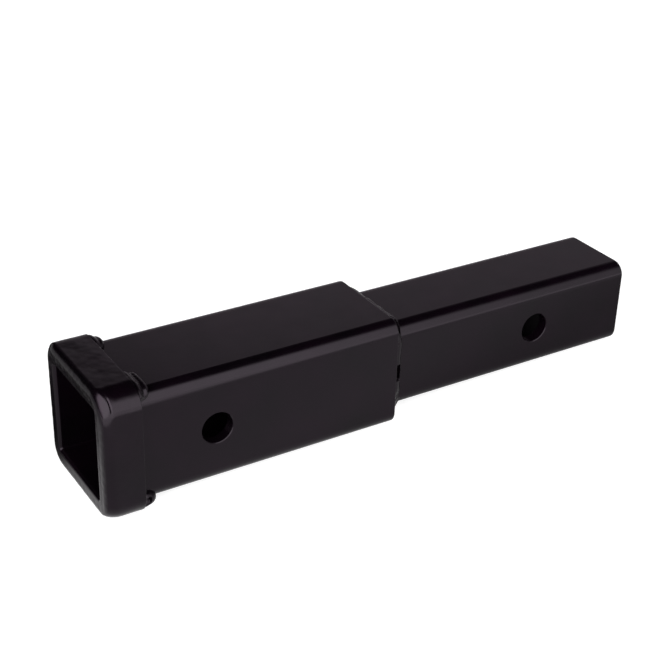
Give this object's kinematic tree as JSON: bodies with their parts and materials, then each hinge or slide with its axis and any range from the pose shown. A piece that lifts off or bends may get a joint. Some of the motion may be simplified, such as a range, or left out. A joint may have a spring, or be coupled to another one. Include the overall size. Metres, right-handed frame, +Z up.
{
  "type": "hitch extender",
  "caption": "Square receiver tube with a reinforced round-lipped mouth, welded to a smaller square shank, each cross-drilled for a hitch pin.",
  "frame": {"origin": "centre of the receiver socket's opening, in the plane of the mouth", "axes": "+X along the tubes from the mouth to the shank's free end, +Y along the pin holes, +Z up"},
  "size_m": [0.3365, 0.0734, 0.0734],
  "materials": {
    "painted_tube": "satin black coat",
    "painted_collar": "satin black coat",
    "painted_weld": "satin black coat"
  },
  "bodies": {
    "root": {"receiver_tube": "painted_tube", "reinforcement_collar": "painted_collar", "mouth_weld": "painted_weld", "collar_rear_weld": "painted_weld", "shoulder_weld": "painted_weld", "shank": "painted_tube"}
  },
  "joints": []
}
